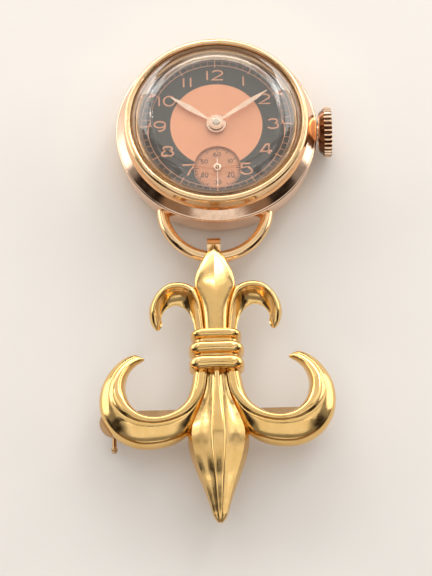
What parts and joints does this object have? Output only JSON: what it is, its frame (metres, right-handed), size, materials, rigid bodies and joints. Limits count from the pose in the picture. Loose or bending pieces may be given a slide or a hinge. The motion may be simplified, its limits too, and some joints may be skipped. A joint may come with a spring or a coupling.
{
  "type": "fob watch",
  "caption": "Mechanical fob watch with a domed crystal and seconds sub-dial, hung by a wire bow from a fleur-de-lis brooch with pin and safety catch.",
  "frame": {"origin": "centre of the flat back of the watch case, on the surface it lies on", "axes": "+Z leaves the dial along the hand arbor, +Y points to twelve o'clock, +X to the crown; the brooch hangs towards -Y"},
  "size_m": [0.0313, 0.0681, 0.0102],
  "materials": {
    "rose_gold_case": "polished, lightly worn",
    "yellow_gold_case": "polished",
    "yellow_gold_brooch": "polished",
    "brooch_fittings": "polished",
    "pin_wire": "polished",
    "crystal": "clear, domed",
    "dial_enamel": "satin, copper centre",
    "dial_copper": "satin",
    "rose_hands": "polished",
    "movement_nickel": "satin",
    "movement_brass": "satin",
    "movement_steel": "polished",
    "spring_steel": "polished",
    "ruby": "polished"
  },
  "bodies": {
    "watch_case": {"case_middle": "rose_gold_case", "case_tube": "rose_gold_case", "bezel": "yellow_gold_case", "crystal": "crystal", "case_back": "yellow_gold_case", "bow": "yellow_gold_case", "movement_ring": "movement_nickel", "dial": "dial_enamel", "seconds_dial": "dial_copper", "main_plate": "movement_nickel", "barrel_bridge": "movement_nickel", "train_bridge": "movement_nickel", "balance_cock": "movement_nickel", "pallet_cock": "movement_nickel", "bridge_screws": "movement_steel", "jewels": "ruby", "click_spring": "spring_steel", "studs": "movement_steel"},
    "minute_works": {"center_wheel": "movement_brass", "cannon_pinion": "movement_steel", "minute_hand": "rose_hands"},
    "hour_works": {"hour_wheel": "movement_brass", "hour_hand": "rose_hands"},
    "seconds_works": {"fourth_wheel": "movement_brass", "seconds_hand": "rose_hands"},
    "third_works": {"third_wheel": "movement_brass"},
    "escape_works": {"escape_wheel": "movement_steel"},
    "barrel_works": {"mainspring_barrel": "movement_brass", "barrel_cover": "movement_brass", "mainspring": "spring_steel"},
    "minute_wheel_works": {"minute_wheel": "movement_brass"},
    "setting_wheel_works": {"setting_wheel": "movement_steel"},
    "pallet_works": {"pallet_fork": "movement_steel"},
    "balance_works": {"balance_wheel": "movement_brass", "balance_staff": "movement_steel", "roller": "movement_steel", "hairspring": "spring_steel"},
    "regulator_works": {"regulator": "movement_steel"},
    "arbor_works": {"barrel_arbor": "movement_steel", "ratchet_wheel": "movement_steel"},
    "crown_wheel_works": {"crown_wheel": "movement_steel"},
    "click_works": {"click": "movement_steel"},
    "winding_works": {"winding_pinion": "movement_steel"},
    "clutch_works": {"sliding_pinion": "movement_steel"},
    "crown_works": {"winding_stem": "movement_steel", "crown": "rose_gold_case"},
    "setting_lever_works": {"setting_lever": "movement_steel"},
    "yoke_works": {"yoke": "movement_steel"},
    "brooch": {"upper_leaf": "yellow_gold_brooch", "small_scrolls": "yellow_gold_brooch", "collar": "yellow_gold_brooch", "lower_leaf": "yellow_gold_brooch", "large_scrolls": "yellow_gold_brooch", "back_bar": "brooch_fittings", "hanging_loop": "yellow_gold_brooch", "pin_joint": "brooch_fittings", "joint_rivet": "brooch_fittings", "catch_housing": "brooch_fittings"},
    "pin": {"pin_stem": "pin_wire"},
    "catch": {"catch_rotor": "brooch_fittings"}
  },
  "joints": [
    {"name": "seconds_hand_turn", "type": "hinge", "parent": "watch_case", "child": "seconds_works", "pos_m": [0, -0.0063, 0.0067], "axis": [0, 0, -1], "continuous": true},
    {"name": "minute_hand_turn", "type": "hinge", "parent": "watch_case", "child": "minute_works", "pos_m": [0, 0, 0.0075], "axis": [0, 0, -1], "continuous": true},
    {"name": "hour_hand_turn", "type": "hinge", "parent": "watch_case", "child": "hour_works", "pos_m": [0, 0, 0.0071], "axis": [0, 0, -1], "continuous": true},
    {"name": "third_wheel_turn", "type": "hinge", "parent": "watch_case", "child": "third_works", "pos_m": [0.00172, -0.00337, 0.004], "axis": [0, 0, -1], "continuous": true},
    {"name": "escape_wheel_turn", "type": "hinge", "parent": "watch_case", "child": "escape_works", "pos_m": [-0.0025, -0.00486, 0.004], "axis": [0, 0, -1], "continuous": true},
    {"name": "barrel_turn", "type": "hinge", "parent": "watch_case", "child": "barrel_works", "pos_m": [0.00256, 0.0045, 0.004], "axis": [0, 0, -1], "continuous": true},
    {"name": "minute_wheel_turn", "type": "hinge", "parent": "watch_case", "child": "minute_wheel_works", "pos_m": [0.0025, 0, 0.004], "axis": [0, 0, -1], "continuous": true},
    {"name": "setting_wheel_turn", "type": "hinge", "parent": "watch_case", "child": "setting_wheel_works", "pos_m": [0.00521, 0, 0.004], "axis": [0, 0, -1], "continuous": true},
    {"name": "pallet_rock", "type": "hinge", "parent": "watch_case", "child": "pallet_works", "pos_m": [-0.00402, -0.00312, 0.004], "axis": [0, 0, -1], "range_deg": [-5, 5]},
    {"name": "balance_swing", "type": "hinge", "parent": "watch_case", "child": "balance_works", "pos_m": [-0.00592, -0.00093, 0.004], "axis": [0, 0, -1], "range_deg": [-270, 270]},
    {"name": "regulator_turn", "type": "hinge", "parent": "watch_case", "child": "regulator_works", "pos_m": [-0.00592, -0.00093, 0.004], "axis": [0, 0, -1], "range_deg": [-20, 20]},
    {"name": "crown_turn", "type": "hinge", "parent": "watch_case", "child": "winding_works", "pos_m": [0.0087, 0, 0.004], "axis": [1, 0, 0], "continuous": true},
    {"name": "ratchet_turn", "type": "hinge", "parent": "watch_case", "child": "arbor_works", "pos_m": [0.00256, 0.0045, 0.004], "axis": [0, 0, 1], "continuous": true},
    {"name": "crown_wheel_turn", "type": "hinge", "parent": "watch_case", "child": "crown_wheel_works", "pos_m": [0.0059, 0, 0.004], "axis": [0, 0, 1], "continuous": true},
    {"name": "click_rock", "type": "hinge", "parent": "watch_case", "child": "click_works", "pos_m": [-0.00115, 0.0069, 0.004], "axis": [0, 0, -1], "range_deg": [0, 8]},
    {"name": "crown_pull", "type": "slide", "parent": "winding_works", "child": "crown_works", "axis": [1, 0, 0], "range_m": [0, 0.0008]},
    {"name": "clutch_slide", "type": "slide", "parent": "winding_works", "child": "clutch_works", "axis": [-1, 0, 0], "range_m": [0, 0.0005]},
    {"name": "setting_lever_turn", "type": "hinge", "parent": "watch_case", "child": "setting_lever_works", "pos_m": [0.00975, -0.0026, 0.004], "axis": [0, 0, -1], "range_deg": [0, 17.68]},
    {"name": "yoke_turn", "type": "hinge", "parent": "watch_case", "child": "yoke_works", "pos_m": [0.0071, 0.0026, 0.004], "axis": [0, 0, -1], "range_deg": [0, 11.07]},
    {"name": "brooch_swing", "type": "hinge", "parent": "watch_case", "child": "brooch", "pos_m": [-0.00074, -0.01773, 0.0033], "axis": [-1, 0, 0], "range_deg": [-150, 105]},
    {"name": "pin_swing", "type": "hinge", "parent": "brooch", "child": "pin", "pos_m": [0.01106, -0.0394, 0.0018], "axis": [0, -1, 0], "range_deg": [0, 75]},
    {"name": "catch_turn", "type": "hinge", "parent": "brooch", "child": "catch", "pos_m": [-0.01314, -0.0394, 0.0018], "axis": [-1, 0, 0], "range_deg": [0, 30]}
  ],
  "couplings": [
    {"joint": "minute_hand_turn", "follows": "seconds_hand_turn", "ratio": 0.016667},
    {"joint": "hour_hand_turn", "follows": "seconds_hand_turn", "ratio": 0.0013889},
    {"joint": "third_wheel_turn", "follows": "seconds_hand_turn", "ratio": -0.13333},
    {"joint": "escape_wheel_turn", "follows": "seconds_hand_turn", "ratio": -10},
    {"joint": "barrel_turn", "follows": "seconds_hand_turn", "ratio": -0.0020833},
    {"joint": "minute_wheel_turn", "follows": "seconds_hand_turn", "ratio": -0.0055556},
    {"joint": "setting_wheel_turn", "follows": "seconds_hand_turn", "ratio": 0.0125},
    {"joint": "crown_wheel_turn", "follows": "crown_turn", "ratio": 0.65385},
    {"joint": "ratchet_turn", "follows": "crown_turn", "ratio": -0.56667},
    {"joint": "clutch_slide", "follows": "crown_pull", "ratio": 0.625},
    {"joint": "setting_lever_turn", "follows": "crown_pull", "rad_per_m": 384.62},
    {"joint": "yoke_turn", "follows": "crown_pull", "rad_per_m": 240.38}
  ]
}
